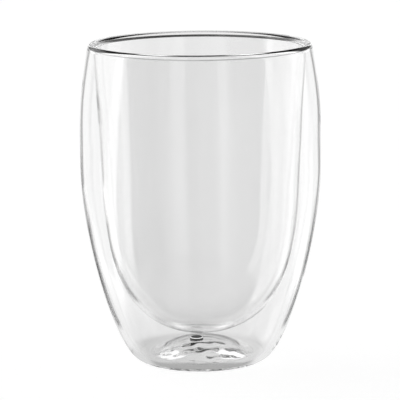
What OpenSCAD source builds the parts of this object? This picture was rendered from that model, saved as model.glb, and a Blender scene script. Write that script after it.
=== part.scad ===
// Double walled glass cup. A blown outer jacket and a blown inner liner are melted together at the
// lip, with air between them. The base of the jacket is pushed up in the middle (the punt), and the
// vent at the top of the punt is closed by a soft plug. The cup stands on the plane z = 0, its axis
// is the Z axis, and sizes are in millimetres.

/* [Cup] */
// Height from the table to the top of the lip
cup_height = 118; // [100:1:140]
// Height of the melted ring that joins jacket and liner at the lip
lip_height = 2.2; // [1.6:0.1:4]
// Outside diameter at the lower edge of the melted ring
lip_diameter = 82.6; // [76:0.2:88]
// Width of the air gap at its top, just under the melted ring
lip_gap = 1.2; // [0.4:0.1:1.5]
// Height to which the air gap reaches up into the melted ring
root_height = 0.75; // [0.3:0.05:1]

/* [Jacket] */
// Outside diameter at the widest place
belly_diameter = 89; // [86:0.5:100]
// Height of the widest place above the table
belly_height = 73.4; // [62:0.2:84]
// Outside diameter of the flat ring that the cup stands on
foot_diameter = 46.6; // [42:0.2:48]
// Diameter at which the push-up in the base leaves the flat ring
punt_diameter = 39; // [34:0.5:39.5]
// Height of the underside of the push-up above the table
punt_height = 5.6; // [3:0.1:7]
// Diameter of the level top of the push-up, where the vent is
punt_top_diameter = 9.5; // [9:0.5:13]
// Wall of the jacket at the lip
jacket_wall = 1.1; // [0.9:0.1:1.8]
// Wall of the jacket at the foot
foot_wall = 1.9; // [1:0.1:2]
// Wall of the jacket at the top of the push-up
punt_wall = 1; // [0.8:0.1:1.8]

/* [Liner] */
// Wall of the liner at the lip
liner_wall = 1; // [0.9:0.1:1.8]
// Wall of the liner at its floor
liner_floor_wall = 1.5; // [1:0.1:2.4]
// Air gap between the belly of the jacket and the shoulder of the liner
side_gap = 7; // [5:0.1:10]
// Height of the shoulder, where the straight side of the liner starts to curve in
shoulder_height = 63.2; // [50:0.2:80]
// Air gap between the top of the push-up and the underside of the liner
floor_gap = 3.5; // [2:0.1:8]

/* [Vent] */
// Diameter of the vent hole through the top of the push-up
vent_diameter = 3.2; // [2.4:0.1:3.8]
// Distance of the vent from the axis of the cup, towards -X
vent_offset = 2; // [0:0.1:2]
// Diameter of the two lips of the plug
plug_lip_diameter = 5; // [4.2:0.1:5]
// Thickness of the lower lip, under the glass
plug_lip_thickness = 0.5; // [0.3:0.1:1]
// Height of the upper lip, a blunt cone above the glass
plug_nose_height = 0.8; // [0.5:0.1:1.4]
// Diameter of the flat end of the cone
plug_nose_diameter = 3.2; // [2:0.1:4]
// Clearance round the neck of the plug in the vent
plug_clearance = 0.1; // [0.05:0.05:0.3]

/* [Hidden] */

// Shares that set how full each curve is. Each is a share of the run that its comment names.
lip_reach_share = 0.417;    // upper curve's reach down from the lip, of the height from lip to belly
belly_rise_share = 0.472;   // upper curve's reach up from the belly, of the same height
belly_fall_share = 0.388;   // lower curve's reach down from the belly, of the belly's height
toe_share = 0.384;          // lower curve's reach out from the foot, of the overhang of the belly
punt_toe_share = 0.35;      // push-up's level reach in from the ring, of its sloping width
punt_top_share = 0.6;       // push-up's level reach out from its top, of its sloping width
liner_fall_share = 0.422;   // liner curve's reach down from the shoulder, of its height above the floor
liner_floor_share = 0.868;  // liner floor's level reach out from the axis, of the shoulder radius
crown_share = 0.6;          // place of the lip's crown, of the lip's width out from its bore
dome_side_share = 0.62;     // reach of the lip's sides up along the walls, of the lip's height
dome_top_share = 0.58;      // level reach of the lip's top from its crown, of the way to its sides
root_side_share = 1.15;     // steep reach of the gap's root up the jacket, of the root's height
root_slope_shares = [0.85, 1.02];  // reach of its slope out from the liner, of the gap and root height

// Steps along each curve
side_steps = 28;
base_steps = 32;
punt_steps = 16;
dome_steps = 14;
root_steps = 12;
$fn = 96;

// Room by which a cutting tool runs past the wall that it cuts
overrun = 1;

weld_z = cup_height - lip_height;
lip_radius = lip_diameter / 2;
belly_radius = belly_diameter / 2;
foot_radius = foot_diameter / 2;
punt_radius = punt_diameter / 2;
punt_top_radius = punt_top_diameter / 2;
vent_radius = vent_diameter / 2;

// The two glasses meet the melted ring on these radii, with the air gap between the middle two.
jacket_bore_radius = lip_radius - jacket_wall;
liner_lip_radius = jacket_bore_radius - lip_gap;
liner_bore_radius = liner_lip_radius - liner_wall;

shoulder_radius = belly_radius - jacket_wall - side_gap;
vent_floor_z = punt_height + punt_wall;
liner_base_z = vent_floor_z + floor_gap;

glass_colour = [0.87, 0.90, 0.91, 0.45];
plug_colour = [0.62, 0.64, 0.65];

// Value a share of the way from a to b
function mix(a, b, share) = a + (b - a) * share;

// Point at the parameter t of the cubic curve with the control points p
function cubic(p, t) =
    pow(1 - t, 3) * p[0] + 3 * t * pow(1 - t, 2) * p[1] + 3 * t * t * (1 - t) * p[2] + pow(t, 3) * p[3];

// The curve's points after its first, in even steps of its parameter
function cubic_run(p, steps) = [for (i = [1:steps]) cubic(p, i / steps)];

// How far each wall moves towards the axis for each step up, where it runs into the melted ring
jacket_lean = (belly_radius - lip_radius) / ((weld_z - belly_height) * lip_reach_share);
liner_lean = (shoulder_radius - liner_lip_radius) / (weld_z - shoulder_height);

// Blown glass is thinnest at the lip and thickens steadily towards the table. In the push-up, where
// the hot base was stretched, it thins again.
function punt_thickness(z) = mix(foot_wall, punt_wall, z / punt_height);
function jacket_thickness(z) = mix(foot_wall, jacket_wall, z / weld_z);
function liner_thickness(z) =
    mix(liner_floor_wall, liner_wall, (z - liner_base_z) / (weld_z - liner_base_z));

// Unit normal on the air side of a skin that runs down from the lip and in to the axis. At the lip
// it is level and at the axis upright, so that the wall ends in a flat face and on the axis.
function inward(skin, i) =
    i == 0 ? [-1, 0] :
    i == len(skin) - 1 ? [0, 1] :
    let (run = skin[i + 1] - skin[i - 1]) [run.y, -run.x] / norm(run);

// Outline of a blown wall: its outer skin, and back along the same skin moved in by the wall
function blown_wall(skin, walls) = concat(
    skin,
    [for (i = [len(skin) - 1:-1:0]) skin[i] + walls[i] * inward(skin, i)]);

// Outer skin of the jacket's side: lip to belly, and belly to foot
side_skin = let (
        fall = weld_z - belly_height,
        overhang = belly_radius - foot_radius)
    concat(
        [[lip_radius, weld_z]],
        cubic_run([
            [lip_radius, weld_z],
            [belly_radius, weld_z - fall * lip_reach_share],
            [belly_radius, belly_height + fall * belly_rise_share],
            [belly_radius, belly_height]], side_steps),
        cubic_run([
            [belly_radius, belly_height],
            [belly_radius, belly_height * (1 - belly_fall_share)],
            [foot_radius + overhang * toe_share, 0],
            [foot_radius, 0]], base_steps));

// Outer skin of the jacket's base: flat ring, push-up, and level to the axis
base_skin = let (slope = punt_radius - punt_top_radius)
    concat(
        [[punt_radius, 0]],
        cubic_run([
            [punt_radius, 0],
            [punt_radius - slope * punt_toe_share, 0],
            [punt_top_radius + slope * punt_top_share, punt_height],
            [punt_top_radius, punt_height]], punt_steps),
        [[0, punt_height]]);

// Outer skin of the liner: a straight, slightly tapered side, and one curve in to the axis
liner_skin = let (
        rise = shoulder_height - liner_base_z,
        drop = rise * liner_fall_share)
    concat(
        [[liner_lip_radius, weld_z], [shoulder_radius, shoulder_height]],
        cubic_run([
            [shoulder_radius, shoulder_height],
            [shoulder_radius + drop * liner_lean, shoulder_height - drop],
            [shoulder_radius * liner_floor_share, liner_base_z],
            [0, liner_base_z]], base_steps));

// Section of the melted ring: a dome whose two sides run on from the walls below it and meet level
// at its crown. The root of the air gap under it slopes up from the liner and is steep at the jacket.
lip_section = let (
        reach = lip_height * dome_side_share,
        edge = lip_radius - lip_height * jacket_lean,
        bore = liner_bore_radius - lip_height * liner_lean,
        crown = mix(bore, edge, crown_share))
    concat(
        [[lip_radius, weld_z]],
        cubic_run([
            [lip_radius, weld_z],
            [lip_radius - reach * jacket_lean, weld_z + reach],
            [mix(crown, edge, dome_top_share), cup_height],
            [crown, cup_height]], dome_steps),
        cubic_run([
            [crown, cup_height],
            [mix(crown, bore, dome_top_share), cup_height],
            [liner_bore_radius - reach * liner_lean, weld_z + reach],
            [liner_bore_radius, weld_z]], dome_steps),
        [[liner_lip_radius, weld_z]],
        cubic_run([
            [liner_lip_radius, weld_z],
            [liner_lip_radius + lip_gap * root_slope_shares[0],
             weld_z + root_height * root_slope_shares[1]],
            [jacket_bore_radius, weld_z + root_height * root_side_share],
            [jacket_bore_radius, weld_z]], root_steps));

module outer_jacket() {
    color(glass_colour)
    difference() {
        rotate_extrude()
            polygon(blown_wall(
                concat(side_skin, base_skin),
                concat(
                    [for (p = side_skin) jacket_thickness(p.y)],
                    [for (p = base_skin) punt_thickness(p.y)])));
        translate([-vent_offset, 0, punt_height - overrun])
            cylinder(r = vent_radius, h = vent_floor_z - punt_height + 2 * overrun);
    }
}

module inner_liner() {
    color(glass_colour)
    rotate_extrude()
        polygon(blown_wall(liner_skin, [for (p = liner_skin) liner_thickness(p.y)]));
}

module lip_weld() {
    color(glass_colour)
    rotate_extrude() polygon(lip_section);
}

// A soft stopper like a grommet: its neck fills the vent, and a lip grips the glass on each side.
module vent_plug() {
    neck_radius = vent_radius - plug_clearance;
    lip_edge = plug_lip_diameter / 2;
    color(plug_colour)
    translate([-vent_offset, 0, 0])
    rotate_extrude()
        polygon([
            [0, punt_height - plug_lip_thickness],
            [lip_edge - plug_lip_thickness / 2, punt_height - plug_lip_thickness],
            [lip_edge, punt_height - plug_lip_thickness / 2],
            [lip_edge, punt_height],
            [neck_radius, punt_height],
            [neck_radius, vent_floor_z],
            [lip_edge, vent_floor_z],
            [lip_edge, vent_floor_z + plug_nose_height / 3],
            [plug_nose_diameter / 2, vent_floor_z + plug_nose_height],
            [0, vent_floor_z + plug_nose_height]]);
}

outer_jacket();
inner_liner();
lip_weld();
vent_plug();
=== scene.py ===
"""Looks of a double walled glass cup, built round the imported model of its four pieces.

The outer jacket, the inner liner, the melted lip and the vent plug are each a closed surface of
revolution, worked out with numpy from the cup's driving sizes. Lengths are metres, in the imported
model's own frame: the cup stands on z = 0 and its axis is the Z axis.
"""
from __future__ import annotations

import logging
import math
from dataclasses import dataclass, field
from enum import Enum
from typing import Union

import bpy
import numpy as np
from mathutils import Euler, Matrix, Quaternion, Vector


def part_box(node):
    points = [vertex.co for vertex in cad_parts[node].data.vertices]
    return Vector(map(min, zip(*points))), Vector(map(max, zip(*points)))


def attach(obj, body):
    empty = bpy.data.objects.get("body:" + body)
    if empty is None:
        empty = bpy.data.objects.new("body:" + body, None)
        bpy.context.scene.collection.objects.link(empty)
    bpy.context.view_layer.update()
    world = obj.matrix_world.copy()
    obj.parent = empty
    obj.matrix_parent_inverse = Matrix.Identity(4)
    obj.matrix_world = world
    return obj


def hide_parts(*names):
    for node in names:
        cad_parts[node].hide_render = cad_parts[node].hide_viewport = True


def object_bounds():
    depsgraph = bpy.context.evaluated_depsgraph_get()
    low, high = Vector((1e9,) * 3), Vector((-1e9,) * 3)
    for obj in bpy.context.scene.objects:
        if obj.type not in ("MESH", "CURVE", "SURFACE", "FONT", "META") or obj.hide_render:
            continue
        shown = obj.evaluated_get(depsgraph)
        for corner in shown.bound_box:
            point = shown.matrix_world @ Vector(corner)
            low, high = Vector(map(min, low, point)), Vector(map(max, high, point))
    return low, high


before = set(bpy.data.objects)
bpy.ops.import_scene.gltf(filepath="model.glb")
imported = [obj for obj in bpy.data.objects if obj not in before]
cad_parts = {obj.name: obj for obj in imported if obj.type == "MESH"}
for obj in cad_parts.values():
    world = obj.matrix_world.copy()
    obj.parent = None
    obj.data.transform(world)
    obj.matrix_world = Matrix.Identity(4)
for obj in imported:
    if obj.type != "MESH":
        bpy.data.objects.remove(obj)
CAD_BOX = [list(corner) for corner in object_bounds()]

LOG = logging.getLogger("cup")
MM = 0.001
WHITE = (1.0, 1.0, 1.0, 1.0)

# How often a path of light may be bent or mirrored, and how many melted faces it may pass
LONGEST_PATH = 48
MOST_SEE_THROUGH = 40

# Shortest way that still has a direction
LEAST_LENGTH = 1e-12

# What an input of a node takes: a number, a colour or vector, or the output of another node
Feed = Union[float, tuple, bpy.types.NodeSocket]


class Slot(Enum):
    """The record's material slots."""

    BLOWN_GLASS = "blown_glass"
    LIP_GLASS = "lip_glass"
    SILICONE = "silicone"


def cubic(points: list[tuple[float, float]], steps: int) -> np.ndarray:
    """Points of a cubic curve after its first one, in even steps of its parameter t.

    Each point is the sum of the four control points, weighted by (1-t)^3, 3t(1-t)^2, 3t^2(1-t)
    and t^3.

    Args:
        points: The four control points, each a radius and a height.
        steps: Number of points to return.

    Returns:
        An array of steps rows, each a radius and a height.
    """
    p = np.array(points, float)
    t = (np.arange(1, steps + 1) / steps)[:, None]
    s = 1 - t
    return s**3 * p[0] + 3 * t * s**2 * p[1] + 3 * t**2 * s * p[2] + t**3 * p[3]


def smooth_step(x: np.ndarray, low: float, high: float) -> np.ndarray:
    """Rises from 0 at low to 1 at high, level at both ends: 3s^2 - 2s^3 of the share s between."""
    s = np.clip((x - low) / (high - low), 0, 1)
    return s * s * (3 - 2 * s)


@dataclass(frozen=True)
class CupSizes:
    """Driving sizes of the cup, the same as those of its construction, and what follows from them.

    The shares set how full each curve is: its reach, as a share of the run that it is taken from.
    Between the two distances of weld_fade under the weld, the unevenness of the glass dies out.
    """

    height: float = CAD_BOX[1][2]
    weld_z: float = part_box("lip_weld")[0].z
    lip_radius: float = 41.3 * MM
    lip_gap: float = 1.2 * MM
    root_height: float = 0.75 * MM
    belly_radius: float = 44.5 * MM
    belly_height: float = 73.4 * MM
    foot_radius: float = 23.3 * MM
    punt_radius: float = 19.5 * MM
    punt_height: float = 5.6 * MM
    punt_top_radius: float = 4.75 * MM
    jacket_wall: float = 1.1 * MM
    foot_wall: float = 1.9 * MM
    punt_wall: float = 1 * MM
    liner_wall: float = 1 * MM
    liner_floor_wall: float = 1.5 * MM
    side_gap: float = 7 * MM
    shoulder_height: float = 63.2 * MM
    floor_gap: float = 3.5 * MM
    vent_radius: float = 1.6 * MM
    vent_offset: float = 2 * MM
    lip_reach_share: float = 0.417
    belly_rise_share: float = 0.472
    belly_fall_share: float = 0.388
    toe_share: float = 0.384
    punt_toe_share: float = 0.35
    punt_top_share: float = 0.6
    liner_fall_share: float = 0.422
    liner_floor_share: float = 0.868
    weld_fade: tuple[float, float] = (12 * MM, 2 * MM)

    @property
    def jacket_bore(self) -> float:
        """Radius of the jacket's inner face at the weld."""
        return self.lip_radius - self.jacket_wall

    @property
    def liner_lip(self) -> float:
        """Radius of the liner's outer face at the weld."""
        return self.jacket_bore - self.lip_gap

    @property
    def liner_bore(self) -> float:
        """Radius of the liner's inner face at the weld."""
        return self.liner_lip - self.liner_wall

    @property
    def shoulder_radius(self) -> float:
        """Outer radius of the liner where its straight side starts to curve in."""
        return self.belly_radius - self.jacket_wall - self.side_gap

    @property
    def vent_floor(self) -> float:
        """Height of the upper face of the push-up's level top."""
        return self.punt_height + self.punt_wall

    @property
    def liner_base(self) -> float:
        """Height of the liner's underside on the axis."""
        return self.vent_floor + self.floor_gap

    @property
    def jacket_lean(self) -> float:
        """How far the jacket leans in for each unit of height at the weld."""
        fall = (self.weld_z - self.belly_height) * self.lip_reach_share
        return (self.belly_radius - self.lip_radius) / fall

    @property
    def liner_taper(self) -> float:
        """How far the liner widens for each unit of height at the weld."""
        return (self.liner_lip - self.shoulder_radius) / (self.weld_z - self.shoulder_height)

    def jacket_thickness(self, z: np.ndarray) -> np.ndarray:
        """Wall of the jacket at a height: an even change from the foot to the lip."""
        return self.foot_wall + (self.jacket_wall - self.foot_wall) * z / self.weld_z

    def punt_thickness(self, z: np.ndarray) -> np.ndarray:
        """Wall of the push-up at a height of its underside: it thins evenly from ring to top."""
        return self.foot_wall + (self.punt_wall - self.foot_wall) * z / self.punt_height

    def liner_thickness(self, z: np.ndarray) -> np.ndarray:
        """Wall of the liner at a height: an even change from its floor to the lip."""
        share = (z - self.liner_base) / (self.weld_z - self.liner_base)
        return self.liner_floor_wall + (self.liner_wall - self.liner_floor_wall) * share

    def under_weld(self, z: np.ndarray) -> np.ndarray:
        """Falls from 1 to 0 at a height, so that the pieces still meet at the weld."""
        low, high = (self.weld_z - fade for fade in self.weld_fade)
        return 1 - smooth_step(z, low, high)


@dataclass
class Outline:
    """Half section of a turned piece, walked so that the glass lies on its right hand.

    Attributes:
        rings: Rows of a ring's radius, its height and the place of its centre along X.
        sharp: Numbers of the rings that are edges.
        joined: Numbers of the rings at which a face that is melted into the next piece starts.
        closed: Whether the last ring goes on to the first. If not, both lie on the axis.
    """

    rings: np.ndarray
    sharp: list[int] = field(default_factory=list)
    joined: list[int] = field(default_factory=list)
    closed: bool = True


def inward_normals(skin: np.ndarray) -> np.ndarray:
    """Unit normals on the air side of a skin that runs down from the lip and in to the axis.

    Each is the direction from the point before to the point after, turned a quarter right. The
    first is level and the last upright.

    Args:
        skin: Rows of radius and height.

    Returns:
        An array of the same shape.
    """
    run = skin[2:] - skin[:-2]
    turned = np.stack([run[:, 1], -run[:, 0]], 1) / np.linalg.norm(run, axis=1)[:, None]
    return np.vstack([[-1.0, 0.0], turned, [0.0, 1.0]])


@dataclass(frozen=True)
class Ripple:
    """Hand-blown unevenness: a sum of plane waves of random direction, length and phase.

    Attributes:
        depth: Root mean square height of the waves.
        longest: Longest wave.
        shortest: Shortest wave.
        waves: Number of waves in the sum.
        seed: Seed of the random draws.
    """

    depth: float
    longest: float
    shortest: float
    waves: int = 24
    seed: int = 7

    def at(self, points: np.ndarray) -> np.ndarray:
        """Height of the ripple: the sum of sine(k . p + phase) over the waves, scaled to depth.

        Args:
            points: Points p, with their coordinates on the last axis.

        Returns:
            The height at each point.
        """
        rng = np.random.default_rng(self.seed)
        ways = rng.normal(size=(self.waves, 3))
        ways /= np.linalg.norm(ways, axis=1)[:, None]
        lengths = np.exp(rng.uniform(np.log(self.shortest), np.log(self.longest), self.waves))
        phases = rng.uniform(0, 2 * math.pi, self.waves)
        angles = points @ (ways * (2 * math.pi / lengths)[:, None]).T + phases
        return self.depth * math.sqrt(2 / self.waves) * np.sin(angles).sum(-1)


def turned_points(rings: np.ndarray, segments: int) -> np.ndarray:
    """Points of a turned surface: (c + r cos a, r sin a, z) for each ring and each angle a.

    Args:
        rings: Rows of a ring's radius r, height z and centre c along X.
        segments: Number of angles in the turn.

    Returns:
        A grid of ring, angle and coordinate.
    """
    a = 2 * math.pi * np.arange(segments) / segments
    r, z, c = (rings[:, k][:, None] for k in range(3))
    return np.stack([c + r * np.cos(a), r * np.sin(a), z + 0 * a], -1)


def grid_normals(points: np.ndarray) -> np.ndarray:
    """Outward unit normals of a turned grid: the cross product of its two central differences.

    Args:
        points: Grid of ring, angle and coordinate.

    Returns:
        A grid of the same shape.
    """
    along = np.gradient(points, axis=0)
    around = np.roll(points, -1, 1) - np.roll(points, 1, 1)
    normal = np.cross(along, around)
    length = np.linalg.norm(normal, axis=-1, keepdims=True)
    return normal / np.maximum(length, LEAST_LENGTH)


def turned_faces(count: int, segments: int, poles: bool) -> tuple[list[list[int]], np.ndarray]:
    """Faces of a turned grid, whose points are numbered ring by ring.

    Args:
        count: Number of rings, without the poles.
        segments: Number of points in each ring.
        poles: Whether each end closes in a pole. The poles are numbered after the other points.
            Without poles, the last ring joins the first.

    Returns:
        The corners of each face, and the number of the ring at which its span of the outline starts.
    """
    index = np.arange(count * segments).reshape(count, segments)
    beside = np.roll(index, -1, 1)
    below, below_beside = np.roll(index, -1, 0), np.roll(beside, -1, 0)
    spans = count - 1 if poles else count
    faces = np.stack([index, below, below_beside, beside], -1)[:spans].reshape(-1, 4).tolist()
    span_of = np.repeat(np.arange(spans), segments)
    if not poles:
        return faces, span_of
    top, bottom = (np.full(segments, count * segments + end) for end in (0, 1))
    faces += np.stack([top, index[0], beside[0]], -1).tolist()
    faces += np.stack([index[-1], bottom, beside[-1]], -1).tolist()
    return faces, np.concatenate([span_of + 1, np.zeros(segments, int), np.full(segments, count)])


def mark_sharp_rings(mesh: bpy.types.Mesh, ring_of: np.ndarray, sharp: list[int]) -> None:
    """Marks the edges that run round the sharp rings.

    Args:
        mesh: The mesh.
        ring_of: Number of the ring that each point lies on.
        sharp: Numbers of the sharp rings.
    """
    ends = np.zeros(len(mesh.edges) * 2, np.int32)
    mesh.edges.foreach_get("vertices", ends)
    first, second = ring_of[ends[0::2]], ring_of[ends[1::2]]
    edge = (first == second) & np.isin(first, sharp)
    mesh.attributes.new("sharp_edge", "BOOLEAN", "EDGE").data.foreach_set("value", edge)


def turned_mesh(name: str, outline: Outline, points: np.ndarray) -> bpy.types.Object:
    """Makes a closed mesh of a turned grid, with its poles joined where an open outline ends.

    Args:
        name: Name of the new object.
        outline: The outline that the grid was turned from.
        points: Grid of ring, angle and coordinate. The end rings of an open outline are poles.

    Returns:
        The object, linked to the scene, smooth but for its sharp rings.
    """
    rings, segments = points.shape[:2]
    poles = not outline.closed
    inner = points[1:-1] if poles else points
    faces, span_of = turned_faces(len(inner), segments, poles)
    co, ring_of = inner.reshape(-1, 3), np.repeat(np.arange(rings), segments)
    if poles:
        co = np.vstack([co, points[0].mean(0), points[-1].mean(0)])
        ring_of = np.append(ring_of[segments:-segments], [0, rings - 1])
    mesh = bpy.data.meshes.new(name)
    mesh.from_pydata(co.tolist(), [], faces)
    mesh.polygons.foreach_set("use_smooth", np.ones(len(faces), bool))
    mesh.polygons.foreach_set("material_index", np.isin(span_of, outline.joined).astype(np.int32))
    mark_sharp_rings(mesh, ring_of, outline.sharp)
    mesh.update()
    piece = bpy.data.objects.new(name, mesh)
    bpy.context.scene.collection.objects.link(piece)
    return piece


class TurnedPiece:
    """A piece turned about the cup's axis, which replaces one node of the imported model.

    Attributes:
        node: Name of the node.
        slot: Material slot of the piece.
        segments: Number of points in each turn.
    """

    node: str = ""
    slot: Slot = Slot.BLOWN_GLASS
    segments: int = 224

    def outline(self) -> Outline:
        """The piece's half section."""
        raise NotImplementedError

    def uneven(self, points: np.ndarray, normals: np.ndarray) -> np.ndarray:
        """The grid with the unevenness of its making. A plain piece has none."""
        return points

    def build(self, materials: list[bpy.types.Material]) -> bpy.types.Object:
        """Makes the mesh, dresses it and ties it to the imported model.

        Args:
            materials: The outer finish, then the one for faces melted into the next piece.

        Returns:
            The finished piece.
        """
        outline = self.outline()
        points = turned_points(outline.rings, self.segments)
        points = self.uneven(points, grid_normals(points))
        piece = turned_mesh("visual_" + self.node, outline, points)
        for material in materials:
            piece.data.materials.append(material)
        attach(piece, "root")
        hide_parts(self.node)
        LOG.info("%s: %d faces", piece.name, len(piece.data.polygons))
        return piece


@dataclass
class OuterJacket(TurnedPiece):
    """The outer blown glass: side, rounded toe, flat ring, push-up and vent.

    Attributes:
        sizes: Sizes of the cup.
        side_steps: Steps of the outline from lip to belly.
        base_steps: Steps from belly to foot.
        ring_steps: Steps across the flat ring.
        punt_steps: Steps up the push-up.
        pad_steps: Steps across its level top to the vent.
        swirl: Slow unevenness of the side.
        swirl_inset: How far the side is set in, in depths of the swirl, so that no crest of it
            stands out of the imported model.
        swirl_rise: Heights between which the swirl sets in.
        toe_width: Width beside the push-up that has no swirl.
        lumps: Unevenness of the push-up.
        lump_squeeze: How far places are squeezed along each axis before the lumps are taken there.
        lump_front: Distances towards the camera between which the lumps set in.
        lump_rise: Heights between which they set in.
        lump_edge: Half of the width over which they end at the flat ring.
    """

    node = "outer_jacket"
    segments = 192

    sizes: CupSizes
    side_steps: int = 60
    base_steps: int = 100
    ring_steps: int = 8
    punt_steps: int = 66
    pad_steps: int = 6
    swirl: Ripple = Ripple(depth=0.012 * MM, longest=60 * MM, shortest=18 * MM, seed=3)
    swirl_inset: float = 5
    swirl_rise: tuple[float, float] = (0.3 * MM, 6 * MM)
    toe_width: float = 2 * MM
    lumps: Ripple = Ripple(depth=0.26 * MM, longest=6.5 * MM, shortest=2.4 * MM, waves=40, seed=21)
    lump_squeeze: tuple[float, float, float] = (0.5, 1.0, 1.0)
    lump_front: tuple[float, float] = (4 * MM, 10 * MM)
    lump_rise: tuple[float, float] = (0.3 * MM, 1.2 * MM)
    lump_edge: float = 1 * MM

    def side_skin(self) -> np.ndarray:
        """Outer skin of the side: lip to belly, and belly to foot.

        Returns:
            Rows of radius and height.
        """
        s = self.sizes
        fall = s.weld_z - s.belly_height
        overhang = s.belly_radius - s.foot_radius
        side = cubic([
            (s.lip_radius, s.weld_z),
            (s.belly_radius, s.weld_z - fall * s.lip_reach_share),
            (s.belly_radius, s.belly_height + fall * s.belly_rise_share),
            (s.belly_radius, s.belly_height)], self.side_steps)
        base = cubic([
            (s.belly_radius, s.belly_height),
            (s.belly_radius, s.belly_height * (1 - s.belly_fall_share)),
            (s.foot_radius + overhang * s.toe_share, 0),
            (s.foot_radius, 0)], self.base_steps)
        return np.vstack([[(s.lip_radius, s.weld_z)], side, base])

    def base_skin(self) -> np.ndarray:
        """Outer skin of the base: flat ring, and push-up to its level top.

        Returns:
            Rows of radius and height.
        """
        s = self.sizes
        slope = s.punt_radius - s.punt_top_radius
        ring = np.linspace((s.foot_radius, 0), (s.punt_radius, 0), self.ring_steps + 1)[1:]
        punt = cubic([
            (s.punt_radius, 0),
            (s.punt_radius - slope * s.punt_toe_share, 0),
            (s.punt_top_radius + slope * s.punt_top_share, s.punt_height),
            (s.punt_top_radius, s.punt_height)], self.punt_steps)
        return np.vstack([ring, punt])

    def outline(self) -> Outline:
        """Outer skin, vent wall, and the inner skin, which is the outer one moved in by the wall.

        On the level top of the push-up the rings' centres glide from the cup's axis to the vent's,
        so that the last ring is the edge of the vent.

        Returns:
            The closed outline.
        """
        s = self.sizes
        side, base = self.side_skin(), self.base_skin()
        skin = np.vstack([side, base])
        walls = np.concatenate([s.jacket_thickness(side[:, 1]), s.punt_thickness(base[:, 1])])
        inner = skin + walls[:, None] * inward_normals(skin)
        glide = np.linspace(0, 1, self.pad_steps + 1)[1:]
        pad_radius = s.punt_top_radius + (s.vent_radius - s.punt_top_radius) * glide
        pad = np.stack([pad_radius, np.full_like(glide, s.punt_height), -s.vent_offset * glide], 1)
        pad_top = pad.copy()
        pad_top[:, 1] = s.vent_floor
        below = np.vstack([np.column_stack([skin, np.zeros(len(skin))]), pad])
        above = np.vstack([np.column_stack([inner, np.zeros(len(inner))]), pad_top])[::-1]
        rings = np.vstack([below, above])
        edge = len(below)
        return Outline(rings, sharp=[0, edge - 1, edge, len(rings) - 1], joined=[len(rings) - 1])

    def uneven(self, points: np.ndarray, normals: np.ndarray) -> np.ndarray:
        """Slow swirls in the side, and lumps in the push-up where the hot base was pressed.

        Args:
            points: Grid of ring, angle and coordinate.
            normals: Outward unit normals of the grid.

        Returns:
            The grid, pushed in and out along its normals.
        """
        s = self.sizes
        x, y, z = points[..., 0], points[..., 1], points[..., 2]
        r = np.hypot(x, y)
        side = smooth_step(z, *self.swirl_rise) * s.under_weld(z) * (r > s.punt_radius + self.toe_width)
        pressed = smooth_step(-y, *self.lump_front) * smooth_step(z, *self.lump_rise)
        pressed *= 1 - smooth_step(r, s.punt_radius - self.lump_edge, s.punt_radius + self.lump_edge)
        swirl = self.swirl.at(points) - self.swirl_inset * self.swirl.depth
        push = swirl * side + self.lumps.at(points * self.lump_squeeze) * pressed
        return points + normals * push[..., None]


@dataclass
class InnerLiner(TurnedPiece):
    """The inner blown glass: a straight, slightly tapered side and a round bottom.

    Attributes:
        sizes: Sizes of the cup.
        side_steps: Points of the outline down the side.
        base_steps: Steps of the outline round the bottom.
        swirl: Slow unevenness of the glass.
        swirl_reach: Radii between which the swirl sets in.
    """

    node = "inner_liner"

    sizes: CupSizes
    side_steps: int = 50
    base_steps: int = 110
    swirl: Ripple = Ripple(depth=0.012 * MM, longest=60 * MM, shortest=18 * MM, seed=5)
    swirl_reach: tuple[float, float] = (1 * MM, 8 * MM)

    def outline(self) -> Outline:
        """Inner skin from the axis to the lip, then the outer skin back down to the axis.

        Returns:
            The open outline.
        """
        s = self.sizes
        rise = s.shoulder_height - s.liner_base
        drop = rise * s.liner_fall_share
        shoulder = (s.shoulder_radius, s.shoulder_height)
        side = np.linspace((s.liner_lip, s.weld_z), shoulder, self.side_steps)
        bowl = cubic([
            shoulder,
            (s.shoulder_radius - drop * s.liner_taper, s.shoulder_height - drop),
            (s.shoulder_radius * s.liner_floor_share, s.liner_base),
            (0, s.liner_base)], self.base_steps)
        skin = np.vstack([side, bowl])
        inner = skin + s.liner_thickness(skin[:, 1])[:, None] * inward_normals(skin)
        rings = np.vstack([inner[::-1], skin])
        rings = np.column_stack([rings, np.zeros(len(rings))])
        rim = len(inner) - 1
        return Outline(rings, sharp=[rim, rim + 1], joined=[rim], closed=False)

    def uneven(self, points: np.ndarray, normals: np.ndarray) -> np.ndarray:
        """Slow swirls, which die out towards the weld and towards the axis.

        Args:
            points: Grid of ring, angle and coordinate.
            normals: Outward unit normals of the grid.

        Returns:
            The grid, pushed in and out along its normals.
        """
        r = np.hypot(points[..., 0], points[..., 1])
        free = smooth_step(r, *self.swirl_reach) * self.sizes.under_weld(points[..., 2])
        return points + normals * (self.swirl.at(points) * free)[..., None]


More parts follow.
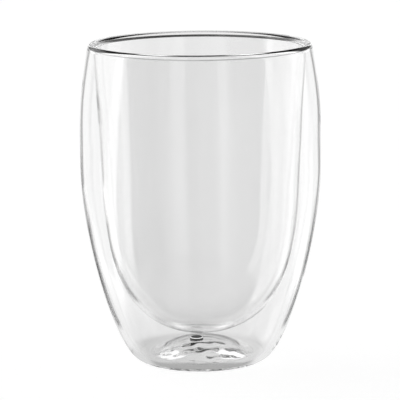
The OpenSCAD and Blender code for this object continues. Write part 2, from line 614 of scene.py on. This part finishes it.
@dataclass
class LipWeld(TurnedPiece):
    """The ring of melted glass: a dome whose sides run on from both walls, over the gap's root.

    Attributes:
        sizes: Sizes of the cup.
        dome_steps: Steps of the outline on each side of the dome.
        root_steps: Steps over the root of the air gap.
        side_reach_share: Reach of the dome's sides up along the walls, of its height.
        crown_reach_share: Level reach of its top from the crown, of the way to its sides.
        crown_share: Place of the crown, of the ring's width out from its bore.
        root_side_share: Reach of the root up the jacket, of its height.
        root_slope_shares: Reach of the root's slope from the liner, of the gap and of its height.
    """

    node = "lip_weld"
    slot = Slot.LIP_GLASS

    sizes: CupSizes
    dome_steps: int = 26
    root_steps: int = 20
    side_reach_share: float = 0.62
    crown_reach_share: float = 0.58
    crown_share: float = 0.6
    root_side_share: float = 1.15
    root_slope_shares: tuple[float, float] = (0.85, 1.02)

    def outline(self) -> Outline:
        """Jacket's inner edge, root of the gap, edge of the liner, and back over the dome.

        Returns:
            The closed outline.
        """
        s = self.sizes
        tall = s.height - s.weld_z
        reach = tall * self.side_reach_share
        out, bore = s.lip_radius - s.jacket_lean * tall, s.liner_bore + s.liner_taper * tall
        crown = bore + (out - bore) * self.crown_share
        outer = cubic([
            (s.lip_radius, s.weld_z),
            (s.lip_radius - s.jacket_lean * reach, s.weld_z + reach),
            (crown + (out - crown) * self.crown_reach_share, s.height),
            (crown, s.height)], self.dome_steps)
        inner = cubic([
            (crown, s.height),
            (crown - (crown - bore) * self.crown_reach_share, s.height),
            (s.liner_bore + s.liner_taper * reach, s.weld_z + reach),
            (s.liner_bore, s.weld_z)], self.dome_steps)
        out_share, up_share = self.root_slope_shares
        root = cubic([
            (s.jacket_bore, s.weld_z),
            (s.jacket_bore, s.weld_z + s.root_height * self.root_side_share),
            (s.liner_lip + s.lip_gap * out_share, s.weld_z + s.root_height * up_share),
            (s.liner_lip, s.weld_z)], self.root_steps)
        walk = np.vstack([[(s.jacket_bore, s.weld_z)], root, inner[::-1], outer[-2::-1],
                          [(s.lip_radius, s.weld_z)]])
        rings = np.column_stack([walk, np.zeros(len(walk))])
        left, last = len(root), len(rings) - 1
        return Outline(rings, sharp=[0, left, left + 1, last], joined=[left, last])


@dataclass
class VentPlug(TurnedPiece):
    """The soft stopper: a neck in the vent with a rounded lip under the glass and a cone above it.

    Attributes:
        sizes: Sizes of the cup.
        lip_radius: Radius of both lips.
        lip_thickness: Thickness of the lower lip, whose edge is rounded by half of it.
        nose_height: Height of the cone above the glass.
        nose_radius: Radius of the cone's flat end.
        neck_clearance: Room round the neck in the vent.
        corner_steps: Points of the outline round the lower lip's corner.
        shoulder_steps: Steps over the cone's shoulder.
        shoulder_share: How full the shoulder is: its reach up the side, of half a lip's thickness.
    """

    node = "vent_plug"
    slot = Slot.SILICONE
    segments = 64

    sizes: CupSizes
    lip_radius: float = 2.5 * MM
    lip_thickness: float = 0.5 * MM
    nose_height: float = 0.8 * MM
    nose_radius: float = 1.6 * MM
    neck_clearance: float = 0.1 * MM
    corner_steps: int = 6
    shoulder_steps: int = 12
    shoulder_share: float = 1.6

    def outline(self) -> Outline:
        """Axis at the nose, over the cone, down the neck, round the lower lip, and to the axis.

        Returns:
            The open outline.
        """
        s = self.sizes
        neck = s.vent_radius - self.neck_clearance
        glass_under, glass_top = s.punt_height, s.vent_floor
        under, top = glass_under - self.lip_thickness, glass_top + self.nose_height
        corner = self.lip_thickness / 2
        shoulder = cubic([
            (self.nose_radius, top),
            (self.nose_radius + corner, top),
            (self.lip_radius, glass_top + self.shoulder_share * corner),
            (self.lip_radius, glass_top + corner)], self.shoulder_steps)
        a = np.linspace(0, -np.pi / 2, self.corner_steps)
        lower = np.stack([self.lip_radius - corner + corner * np.cos(a),
                          under + corner + corner * np.sin(a)], 1)
        groove = [(self.lip_radius, glass_under), (neck, glass_under),
                  (neck, glass_top), (self.lip_radius, glass_top)]
        walk = np.vstack([[(0, under)], lower[::-1], groove, shoulder[::-1],
                          [(self.nose_radius, top), (0, top)]])[::-1]
        rings = np.column_stack([walk, np.full(len(walk), -s.vent_offset)])
        corners = [i for i, p in enumerate(walk) if p[1] in (glass_top, glass_under)]
        return Outline(rings, sharp=corners, closed=False)


class Tree:
    """Small helper that adds and links nodes in one node tree."""

    def __init__(self, tree: bpy.types.NodeTree) -> None:
        """Keeps the tree."""
        self.tree = tree

    def add(self, kind: str, **inputs: Feed) -> bpy.types.Node:
        """Adds a node and sets or links its inputs.

        Args:
            kind: Blender's name of the node type.
            **inputs: Socket names, with underscores for spaces, or socket numbers after an
                underscore. An output socket is linked, and anything else is set.

        Returns:
            The new node.
        """
        node = self.tree.nodes.new(kind)
        for name, value in inputs.items():
            self.feed(node, name, value)
        return node

    def call(self, group: bpy.types.NodeTree, **inputs: Feed) -> bpy.types.Node:
        """Adds a node that stands for a node group.

        Args:
            group: The node group.
            **inputs: Its inputs, written as for add.

        Returns:
            The new node.
        """
        node = self.add("ShaderNodeGroup")
        node.node_tree = group
        for name, value in inputs.items():
            self.feed(node, name, value)
        return node

    def feed(self, node: bpy.types.Node, name: str, value: Feed) -> None:
        """Sets one input of a node, or links an output socket to it.

        Args:
            node: The node.
            name: The input's name or number, written as for add.
            value: What is set, or the output socket that is linked.
        """
        key = int(name[1:]) if name[0] == "_" and name[1:].isdigit() else name.replace("_", " ")
        if isinstance(value, bpy.types.NodeSocket):
            self.tree.links.new(value, node.inputs[key])
        else:
            node.inputs[key].default_value = value

    def math(self, operation: str, *values: Feed) -> bpy.types.NodeSocket:
        """Adds a Math node.

        Args:
            operation: Blender's name of the operation.
            *values: The one to three values that it works on.

        Returns:
            Its output.
        """
        node = self.tree.nodes.new("ShaderNodeMath")
        node.operation = operation
        for i, value in enumerate(values):
            self.feed(node, f"_{i}", value)
        return node.outputs[0]

    def ramp(self, value: Feed, low: Feed, high: Feed) -> bpy.types.NodeSocket:
        """Adds a smooth step, level on both sides.

        Args:
            value: The value that it works on.
            low: Where it is 0.
            high: Where it is 1.

        Returns:
            Its output.
        """
        node = self.add("ShaderNodeMapRange", _0=value, _1=low, _2=high)
        node.interpolation_type = "SMOOTHSTEP"
        return node.outputs[0]

    def blend(self, share: Feed, first: Feed, second: Feed) -> bpy.types.NodeSocket:
        """A number that goes from first, at a share of 0, to second, at a share of 1."""
        return self.add("ShaderNodeMix", _0=share, _2=first, _3=second).outputs[0]

    def rest(self, share: Feed) -> bpy.types.NodeSocket:
        """What a share leaves of the whole: 1 - share."""
        return self.math("SUBTRACT", 1.0, share)

    def length(self, across: Feed, along: Feed) -> bpy.types.NodeSocket:
        """Length of a level way: the square root of the sum of its parts' squares."""
        squares = [self.math("MULTIPLY", part, part) for part in (across, along)]
        return self.math("SQRT", self.math("ADD", *squares))


def new_group(name: str, inputs: dict[str, float],
              outputs: list[str]) -> tuple[Tree, bpy.types.Node, bpy.types.Node]:
    """Makes a shader node group with float sockets.

    Args:
        name: Name of the group.
        inputs: Input names with their default values.
        outputs: Output names.

    Returns:
        The group's tree, its input node and its output node.
    """
    group = bpy.data.node_groups.new(name, "ShaderNodeTree")
    for key, value in inputs.items():
        socket = group.interface.new_socket(key, in_out="INPUT", socket_type="NodeSocketFloat")
        socket.default_value = value
    for key in outputs:
        group.interface.new_socket(key, in_out="OUTPUT", socket_type="NodeSocketFloat")
    tree = Tree(group)
    return tree, tree.add("NodeGroupInput"), tree.add("NodeGroupOutput")


def new_material(name: str) -> tuple[bpy.types.Material, Tree, bpy.types.Node]:
    """Makes a material with a Principled shader.

    Args:
        name: Name of the material.

    Returns:
        The material, its tree and its shader.
    """
    material = bpy.data.materials.new(name)
    material.use_nodes = True
    return material, Tree(material.node_tree), material.node_tree.nodes["Principled BSDF"]


@dataclass(frozen=True)
class BlownWaves:
    """The faint waves of blown glass: soft noise on Object coordinates.

    Attributes:
        per_metre: Number of waves on a metre.
        stretch: How much closer they lie upwards, so that their streaks run round the cup.
        detail: Octaves of the noise.
        roughness: Share of each finer octave.
    """

    per_metre: float = 60.0
    stretch: float = 1.8
    detail: float = 1.0
    roughness: float = 0.4

    def make(self) -> bpy.types.NodeTree:
        """Makes the node group.

        Returns:
            A group whose output is the waves' height in metres, from their depth as its input.
        """
        tree, given, result = new_group("blown_waves", {"Depth": 0.0}, ["Height"])
        coordinates = tree.add("ShaderNodeTexCoord").outputs["Object"]
        mapping = tree.add("ShaderNodeMapping", Vector=coordinates, Scale=(1.0, 1.0, self.stretch))
        noise = tree.add("ShaderNodeTexNoise", Vector=mapping.outputs[0], Scale=self.per_metre,
                         Detail=self.detail, Roughness=self.roughness)
        centred = tree.math("SUBTRACT", noise.outputs[0], 0.5)
        tree.feed(result, "Height", tree.math("MULTIPLY", centred, given.outputs["Depth"]))
        return tree.tree


@dataclass(frozen=True)
class GlassFinish:
    """Clear, fire-smooth borosilicate glass with faint waves.

    A path that is still mirrored to and fro in the glass at its last bounce ends on black near the
    middle plane, and towards the cup's sides on a painted glow of the glass, which stands in for the
    pale light that the rim catches there.

    Attributes:
        name: Name of the material.
        tint: Colour of its faces.
        depth_colour: Colour that its depth keeps. Black takes from all colours alike.
        absorbed_per_metre: Light that it takes on each metre of the way.
        ior: Index of refraction.
        wave_depth: Depth of the waves.
        painted_trapped_glow: Strength of the painted glow on which a trapped path ends.
        trapped_reach: Distances from the middle plane between which it sets in.
    """

    name: str = Slot.BLOWN_GLASS.value
    tint: tuple[float, float, float, float] = WHITE
    depth_colour: tuple[float, float, float, float] = (0.0, 0.0, 0.0, 1.0)
    absorbed_per_metre: float = 3.0
    ior: float = 1.47
    wave_depth: float = 0.01 * MM
    painted_trapped_glow: float = 0.85
    trapped_reach: tuple[float, float] = (20 * MM, 34 * MM)

    def make(self, waves: bpy.types.NodeTree) -> bpy.types.Material:
        """Makes the material.

        Args:
            waves: The node group of the waves.

        Returns:
            The material.
        """
        material, tree, shader = new_material(self.name)
        for key, value in (("Base Color", self.tint), ("Roughness", 0.0), ("IOR", self.ior),
                           ("Transmission Weight", 1.0), ("Metallic", 0.0)):
            tree.feed(shader, key, value)
        height = tree.call(waves, Depth=self.wave_depth).outputs["Height"]
        bump = tree.add("ShaderNodeBump", Height=height, Strength=1.0, Distance=1.0)
        tree.feed(shader, "Normal", bump.outputs[0])
        body = tree.add("ShaderNodeVolumeAbsorption", Color=self.depth_colour,
                        Density=self.absorbed_per_metre)
        tree.feed(material.node_tree.nodes["Material Output"], "Volume", body.outputs[0])
        self.paint_glow_on_trapped_paths(tree, shader)
        material.cycles.emission_sampling = "NONE"
        return material

    def paint_glow_on_trapped_paths(self, tree: Tree, shader: bpy.types.Node) -> None:
        """Adds the painted glow on which a path ends that is still in the glass at its last bounce.

        Args:
            tree: The material's tree.
            shader: Its shader.
        """
        depth = tree.add("ShaderNodeLightPath").outputs["Ray Depth"]
        last = tree.math("GREATER_THAN", depth, LONGEST_PATH - 0.5)
        coordinates = tree.add("ShaderNodeTexCoord").outputs["Object"]
        across = tree.add("ShaderNodeSeparateXYZ", _0=coordinates).outputs[0]
        aside = tree.ramp(tree.math("ABSOLUTE", across), *self.trapped_reach)
        # Painted glow: towards the cup's sides the glass glows where a path ends trapped in it.
        tree.feed(shader, "Emission Color", tree.math("MULTIPLY", last, aside))
        tree.feed(shader, "Emission Strength", self.painted_trapped_glow)


@dataclass(frozen=True)
class LipFinish(GlassFinish):
    """The melted lip's glass: smoother, and too thin to take light away."""

    name: str = Slot.LIP_GLASS.value
    absorbed_per_metre: float = 0.0
    wave_depth: float = 0.006 * MM


@dataclass(frozen=True)
class MeltedFinish:
    """Faces inside the glass, where two pieces are melted into one and nothing shows."""

    name: str = "melted_through"

    def make(self) -> bpy.types.Material:
        """Makes a material that light passes as if it weren't there.

        Returns:
            The material.
        """
        material, tree, shader = new_material(self.name)
        tree.feed(shader, "Alpha", 0.0)
        tree.feed(shader, "Base Color", WHITE)
        return material


@dataclass(frozen=True)
class SiliconeFinish:
    """Silicone, matt and slightly mottled: dark, with a band of painted light, pale and glowing.

    Attributes:
        glass_top: Height of the glass on which the upper lip lies.
        band: Heights over that glass between which the lip is painted pale and glowing.
        name: Name of the material.
        dark: Colour of most of the plug.
        pale: Colour of the band, painted pale as if lit through.
        mottle: How far noise moves the edges of the band up and down.
        edge: Height over which each edge of the band changes colour.
        painted_glow: Strength of the band's painted glow, as if light came through it.
        roughness: How matt it is.
        ior: Index of refraction.
        noise_per_metre: Number of the noise's spots on a metre.
        noise_detail: Octaves of the noise.
        bump_strength: Strength of the bump that the noise makes.
        bump_depth: Depth of the bump.
    """

    glass_top: float
    band: tuple[float, float] = (0.34 * MM, 0.6 * MM)
    name: str = Slot.SILICONE.value
    dark: tuple[float, float, float, float] = (0.04, 0.04, 0.042, 1.0)
    pale: tuple[float, float, float, float] = (0.85, 0.86, 0.86, 1.0)
    mottle: float = 0.06 * MM
    edge: float = 0.06 * MM
    painted_glow: float = 0.75
    roughness: float = 0.45
    ior: float = 1.41
    noise_per_metre: float = 900.0
    noise_detail: float = 3.0
    bump_strength: float = 0.2
    bump_depth: float = 0.05 * MM

    def make(self) -> bpy.types.Material:
        """Makes the material, with mottling from noise on Object coordinates.

        Returns:
            The material.
        """
        material, tree, shader = new_material(self.name)
        tree.feed(shader, "Roughness", self.roughness)
        tree.feed(shader, "IOR", self.ior)
        coordinates = tree.add("ShaderNodeTexCoord").outputs["Object"]
        noise = tree.add("ShaderNodeTexNoise", Vector=coordinates, Scale=self.noise_per_metre,
                         Detail=self.noise_detail)
        height = tree.add("ShaderNodeSeparateXYZ", _0=coordinates).outputs[2]
        uneven = tree.math("MULTIPLY_ADD", noise.outputs[0], self.mottle, height)
        # The band of painted light: pale and glowing, as if lit through.
        low, high = (self.glass_top + over for over in self.band)
        share = tree.math("SUBTRACT", tree.ramp(uneven, low, low + self.edge),
                          tree.ramp(uneven, high, high + self.edge))
        # A Mix node's sockets for colours are its inputs 6 and 7 and its output 2.
        mix = tree.add("ShaderNodeMix", _0=share, _6=self.dark, _7=self.pale)
        mix.data_type = "RGBA"
        tree.feed(shader, "Base Color", mix.outputs[2])
        # Painted glow of the band. The plug is no lamp.
        tree.feed(shader, "Emission Color", share)
        tree.feed(shader, "Emission Strength", self.painted_glow)
        material.cycles.emission_sampling = "NONE"
        bump = tree.add("ShaderNodeBump", Height=noise.outputs[0], Strength=self.bump_strength,
                        Distance=self.bump_depth)
        tree.feed(shader, "Normal", bump.outputs[0])
        return material


@dataclass(frozen=True)
class Panel:
    """One light or dark stretch of the studio's surround, as the glass shows it.

    Azimuths are degrees round the cup from the front (-Y), positive to the right (+X).

    Attributes:
        name: What stands there.
        azimuth: Where it starts and ends.
        light: Its light on the table and low down.
        sky: Its light higher up.
    """

    name: str
    azimuth: tuple[float, float]
    light: float
    sky: float


@dataclass(frozen=True)
class Flag:
    """A long dark screen behind the cup, which draws the dark outline of one of its sides.

    It starts beside the cup and runs back and outward over the table in a straight line. It is
    a wedge: as seen from the cup's axis, it is as wide everywhere.

    Attributes:
        side: -1 for the cup's left side, 1 for its right side.
        azimuth: Direction in which it runs, in degrees from the front.
        start: Distance from the cup's axis to its line.
        half_width: Half of its width, in degrees as seen from the axis.
        soft: Half of the width of its edges, in degrees.
        reach: Distances at which it begins and is whole.
        light: Its light beside the cup and far out, as a share of what is beside it.
        fade: Distances between which its light goes from the one to the other.
        gap: Distances between which it is open, if it has an opening.
        gap_soft: Distance over which it opens and closes.
    """

    side: float
    azimuth: float = 156.3
    start: float = 34 * MM
    half_width: float = 4.5
    soft: float = 2.0
    reach: tuple[float, float] = (0.042, 0.052)
    light: tuple[float, float] = (0.15, 0.45)
    fade: tuple[float, float] = (0.12, 0.3)
    gap: tuple[float, float] | None = None
    gap_soft: float = 0.03

    def shade(self, tree: Tree, azimuth: Feed, distance: Feed) -> bpy.types.NodeSocket:
        """The light that the flag leaves.

        At a distance r from the axis, its middle lies at its direction - asin(start / r).

        Args:
            tree: The tree of the surround.
            azimuth: Azimuth of the place looked at, in degrees.
            distance: Its distance from the cup's axis.

        Returns:
            A share, which is 1 beside the flag.
        """
        turn = tree.math("ARCSINE", tree.math("MINIMUM", tree.math("DIVIDE", self.start, distance), 1.0))
        place = tree.math("MULTIPLY_ADD", azimuth, self.side, tree.math("DEGREES", turn))
        beside = tree.math("ABSOLUTE", tree.math("SUBTRACT", place, self.azimuth))
        edge = tree.ramp(beside, self.half_width - self.soft, self.half_width + self.soft)
        cover = tree.math("MULTIPLY", tree.rest(edge), tree.ramp(distance, *self.reach))
        if self.gap:
            opened, shut = (tree.ramp(distance, end, end + self.gap_soft) for end in self.gap)
            cover = tree.math("MULTIPLY", cover, tree.rest(tree.math("SUBTRACT", opened, shut)))
        return tree.blend(cover, 1.0, tree.blend(tree.ramp(distance, *self.fade), *self.light))


@dataclass
class Studio:
    """White room, the surround that the glass shows, and the pale floor.

    The camera itself sees plain white round the cup. Every path that has met the glass sees the
    surround: a broad window behind the cup, strips at the sides and a dim room in front. Where two
    lights meet, one goes over into the other between the two distances or heights that are given.

    Attributes:
        panels: The surround, from behind the cup round its left side to behind it again.
        soft: Half of the width of the panels' edges, in degrees.
        sky_height: Where the panels' low light meets their high light, as a slope's sine.
        flags: The dark screens on the table.
        ceiling_height: Where the panels meet the ceiling, as a slope's sine.
        ceiling_light: Light of the ceiling, as a share of the panels'.
        floor_size: Width of the floor.
        floor_colour: Colour of the floor to the camera.
        floor_glow: Glow that brings that colour to white.
        near_reach: Distances from the axis at which the floor's own light meets the surround's.
        near_light: The floor's light beside the cup.
        painted_base_shade: Its light under the base, at the left and at the right, dimmed by painted
            shade of the cup.
        base_across: Where these two meet.
        base_reach: Distances from the axis at which they meet the light beside the cup.
        painted_front_shade: Light in front of the foot, dimmed by painted shade.
        front_reach: Distances towards the camera at which it starts.
        painted_pool_place: Centre of a painted pool of light: how far aside, and how far back from the
            axis.
        painted_pool_radius: Radii between which a painted pool ends.
        painted_pool_light: What a painted pool adds.
    """

    panels: tuple[Panel, ...] = (
        Panel("window, left half", (-182, -157), 0.88, 0.6),
        Panel("window, left edge", (-157, -125), 1.05, 1.5),
        Panel("left strip", (-125, -95), 1.15, 1.15),
        Panel("left strip, near edge", (-95, -83), 1.65, 1.65),
        Panel("left dark screen", (-83, -31), 0.02, 0.02),
        Panel("left front strip", (-31, -13), 0.4, 0.33),
        Panel("camera and stand", (-13, 18), 0.27, 0.26),
        Panel("right front strip", (18, 31.5), 0.68, 0.5),
        Panel("right wall", (31.5, 66), 0.5, 0.33),
        Panel("right wall's end", (66, 88), 0.7, 0.5),
        Panel("right strip, low end", (88, 105), 1.0, 0.7),
        Panel("right strip", (105, 130), 1.4, 0.7),
        Panel("window, right edge", (130, 150), 1.0, 0.35),
        Panel("window, right half", (150, 182), 0.9, 0.5),
    )
    soft: float = 1.2
    sky_height: tuple[float, float] = (0.0, 0.15)
    flags: tuple[Flag, ...] = (
        Flag(side=-1.0, half_width=5.2, light=(0.1, 0.45), fade=(0.06, 0.26), gap=(0.2, 0.31)),
        Flag(side=1.0))
    ceiling_height: tuple[float, float] = (0.4, 0.55)
    ceiling_light: float = 0.12
    floor_size: float = 6.0
    floor_colour: tuple[float, float, float, float] = (0.5, 0.5, 0.5, 1.0)
    floor_glow: float = 0.92
    near_reach: tuple[float, float] = (0.04, 0.12)
    near_light: float = 0.88
    painted_base_shade: tuple[float, float] = (0.7, 0.83)
    base_across: tuple[float, float] = (-20 * MM, 20 * MM)
    base_reach: tuple[float, float] = (26 * MM, 34 * MM)
    painted_front_shade: float = 0.42
    front_reach: tuple[float, float] = (14.5 * MM, 18.5 * MM)
    painted_pool_place: tuple[float, float] = (11.5 * MM, -5.5 * MM)
    painted_pool_radius: tuple[float, float] = (3.5 * MM, 6 * MM)
    painted_pool_light: float = 0.5

    def panel_group(self) -> bpy.types.NodeTree:
        """Makes the node group of one panel: a smooth step at each of its edges, times its light.

        Returns:
            The node group.
        """
        names = {"Azimuth": 0.0, "Rise": 0.0, "From": 0.0, "To": 0.0, "Light": 1.0, "Sky": 1.0}
        tree, given, result = new_group("studio_panel", names, ["Value"])
        g = given.outputs
        edges = [tree.ramp(g["Azimuth"], tree.math("SUBTRACT", g[side], self.soft),
                           tree.math("ADD", g[side], self.soft)) for side in ("From", "To")]
        level = tree.blend(g["Rise"], g["Light"], g["Sky"])
        tree.feed(result, "Value", tree.math("MULTIPLY", tree.math("SUBTRACT", *edges), level))
        return tree.tree

    def surround_group(self) -> bpy.types.NodeTree:
        """Makes the node group of the surround, towards a place on the floor or a direction.

        Returns:
            A group whose outputs are the panels' light and the share of it that the flags leave.
        """
        names = {"Right": 0.0, "Back": 0.0, "Up": 0.0}
        tree, given, result = new_group("studio_surround", names, ["Value", "Clear"])
        right, back = given.outputs["Right"], given.outputs["Back"]
        azimuth = tree.math("DEGREES", tree.math("ARCTAN2", right, tree.math("MULTIPLY", back, -1.0)))
        distance = tree.length(right, back)
        rise = tree.ramp(given.outputs["Up"], *self.sky_height)
        group = self.panel_group()
        total: Feed = 0.0
        for panel in self.panels:
            start, end = panel.azimuth
            node = tree.call(group, Azimuth=azimuth, Rise=rise, From=start, To=end,
                             Light=panel.light, Sky=panel.sky)
            node.label = panel.name
            total = tree.math("ADD", total, node.outputs[0])
        clear: Feed = 1.0
        for flag in self.flags:
            clear = tree.math("MULTIPLY", clear, flag.shade(tree, azimuth, distance))
        tree.feed(result, "Value", total)
        tree.feed(result, "Clear", clear)
        return tree.tree

    def light_room(self, surround: bpy.types.NodeTree) -> None:
        """Builds the world: white to the camera, and the surround to every other path.

        Args:
            surround: The node group of the surround.
        """
        world = bpy.data.worlds.new("studio")
        bpy.context.scene.world = world
        world.use_nodes = True
        world.node_tree.nodes.clear()
        tree = Tree(world.node_tree)
        direction = tree.add("ShaderNodeTexCoord").outputs["Generated"]
        right, back, up = tree.add("ShaderNodeSeparateXYZ", _0=direction).outputs
        room = tree.call(surround, Right=right, Back=back, Up=up)
        dimming = tree.blend(tree.ramp(up, *self.ceiling_height), 1.0, self.ceiling_light)
        light = tree.math("MULTIPLY", room.outputs["Value"], dimming)
        light = tree.math("MULTIPLY", light, room.outputs["Clear"])
        path = tree.add("ShaderNodeLightPath")
        seen = tree.blend(path.outputs["Is Camera Ray"], light, 1.0)
        background = tree.add("ShaderNodeBackground", Color=WHITE, Strength=seen)
        tree.feed(tree.add("ShaderNodeOutputWorld"), "Surface", background.outputs[0])

    def painted_floor_light(self, tree: Tree, across: Feed, back: Feed, distance: Feed) -> bpy.types.NodeSocket:
        """Light of the floor under and beside the cup, with painted shade and painted pools of light.

        Painted shade of the cup makes it dimmer under the base, the more so to the left, and dimmest
        from the front of the foot on towards the camera. Under the base a painted pool of light on each
        side of the middle stands for the light that the glass gathers there.

        Args:
            tree: The floor's tree.
            across: How far the place is to the right of the axis.
            back: How far it is behind the axis.
            distance: Its distance from the axis.

        Returns:
            The light.
        """
        # Painted shade under the base, which stands for the cup's shadow.
        base = tree.blend(tree.ramp(across, *self.base_across), *self.painted_base_shade)
        level = tree.blend(tree.ramp(distance, *self.base_reach), base, self.near_light)
        # Painted shade from the front of the foot on towards the camera.
        front = tree.ramp(tree.math("MULTIPLY", back, -1.0), *self.front_reach)
        level = tree.blend(front, level, self.painted_front_shade)
        # Painted pools of light under the base, which stand for light that the glass gathers.
        aside = tree.math("SUBTRACT", tree.math("ABSOLUTE", across), self.painted_pool_place[0])
        along = tree.math("SUBTRACT", back, self.painted_pool_place[1])
        pool = tree.rest(tree.ramp(tree.length(aside, along), *self.painted_pool_radius))
        return tree.math("ADD", level, tree.math("MULTIPLY", pool, self.painted_pool_light))

    def floor_material(self, surround: bpy.types.NodeTree) -> bpy.types.Material:
        """Makes the floor's material.

        To the camera it is matt, with a glow that brings it to white. To other paths it glows, with
        painted shade and painted pools of light round the cup, and as the surround does farther out.

        Args:
            surround: The node group of the surround.

        Returns:
            The material.
        """
        material = bpy.data.materials.new("floor")
        material.use_nodes = True
        material.node_tree.nodes.clear()
        tree = Tree(material.node_tree)
        matt = tree.add("ShaderNodeBsdfDiffuse", Color=self.floor_colour)
        glow = tree.add("ShaderNodeEmission", Color=WHITE, Strength=self.floor_glow)
        pale = tree.add("ShaderNodeAddShader", _0=matt.outputs[0], _1=glow.outputs[0])
        place = tree.add("ShaderNodeTexCoord").outputs["Object"]
        across, back = tree.add("ShaderNodeSeparateXYZ", _0=place).outputs[:2]
        distance = tree.length(across, back)
        room = tree.call(surround, Right=across, Back=back)
        near = self.painted_floor_light(tree, across, back, distance)
        light = tree.blend(tree.ramp(distance, *self.near_reach), near, room.outputs["Value"])
        light = tree.math("MULTIPLY", light, room.outputs["Clear"])
        # Painted glow that other paths see: the surround's light, with painted shade and pools near the
        # cup.
        painted_glow = tree.add("ShaderNodeEmission", Color=WHITE, Strength=light)
        path = tree.add("ShaderNodeLightPath")
        mix = tree.add("ShaderNodeMixShader", _0=path.outputs["Is Camera Ray"],
                       _1=painted_glow.outputs[0], _2=pale.outputs[0])
        tree.feed(tree.add("ShaderNodeOutputMaterial"), "Surface", mix.outputs[0])
        return material

    def lay_floor(self, surround: bpy.types.NodeTree) -> None:
        """Lays the pale floor.

        Args:
            surround: The node group of the surround.
        """
        half = self.floor_size / 2
        corners = [(-half, -half, 0), (half, -half, 0), (half, half, 0), (-half, half, 0)]
        mesh = bpy.data.meshes.new("floor")
        mesh.from_pydata(corners, [], [(0, 1, 2, 3)])
        mesh.materials.append(self.floor_material(surround))
        floor = bpy.data.objects.new("floor", mesh)
        bpy.context.scene.collection.objects.link(floor)


@dataclass(frozen=True)
class Viewpoint:
    """The photograph's camera, from a fit to the outline of the cup.

    Attributes:
        distance: Level distance from the cup's axis.
        height: Height over the table.
        aim_height: Height of the point on the axis that it is aimed at.
        focal_pixels: Focal length, in pixels.
        frame_pixels: Width of the frame, in pixels.
        centre_right_pixels: How far right of the middle that point shows.
        roll: Turn of the frame about its own middle.
        sensor_mm: Width of the sensor, in millimetres.
    """

    distance: float = 739.6 * MM
    height: float = 203.0 * MM
    aim_height: float = 59.3 * MM
    focal_pixels: float = 2029.6
    frame_pixels: float = 400.0
    centre_right_pixels: float = 0.9
    roll: float = math.radians(0.43)
    sensor_mm: float = 36.0

    def place(self) -> bpy.types.Object:
        """Puts the camera in front of the cup, aimed at a point on its axis.

        Returns:
            The camera, which is the scene's.
        """
        data = bpy.data.cameras.new("camera")
        data.sensor_width = self.sensor_mm
        data.lens = self.focal_pixels / self.frame_pixels * self.sensor_mm
        data.shift_x = -self.centre_right_pixels / self.frame_pixels
        camera = bpy.data.objects.new("camera", data)
        bpy.context.scene.collection.objects.link(camera)
        camera.location = (0.0, -self.distance, self.height)
        pitch = math.atan2(self.height - self.aim_height, self.distance)
        aimed = Euler((math.pi / 2 - pitch, 0.0, 0.0)).to_quaternion()
        rolled = Quaternion((0.0, 0.0, 1.0), -self.roll)
        camera.rotation_euler = (aimed @ rolled).to_euler()
        bpy.context.scene.camera = camera
        return camera


def set_light_paths() -> None:
    """Sets the plain view, and paths long enough for the glass and its inner mirrorings."""
    scene = bpy.context.scene
    scene.view_settings.view_transform = "Standard"
    scene.cycles.max_bounces = LONGEST_PATH
    scene.cycles.transmission_bounces = LONGEST_PATH
    scene.cycles.glossy_bounces = LONGEST_PATH
    scene.cycles.transparent_max_bounces = MOST_SEE_THROUGH


def main() -> None:
    """Builds the camera, the studio and the cup's pieces in order, and notes their sizes."""
    logging.basicConfig(level=logging.INFO, format="%(name)s %(message)s")
    set_light_paths()
    Viewpoint().place()
    studio = Studio()
    surround = studio.surround_group()
    studio.light_room(surround)
    studio.lay_floor(surround)
    sizes = CupSizes()
    waves = BlownWaves().make()
    blown, lip = GlassFinish().make(waves), LipFinish().make(waves)
    melted = MeltedFinish().make()
    OuterJacket(sizes).build([blown, melted])
    InnerLiner(sizes).build([blown, melted])
    LipWeld(sizes).build([lip, melted])
    VentPlug(sizes).build([SiliconeFinish(sizes.vent_floor).make()])


if __name__ == "__main__":
    main()
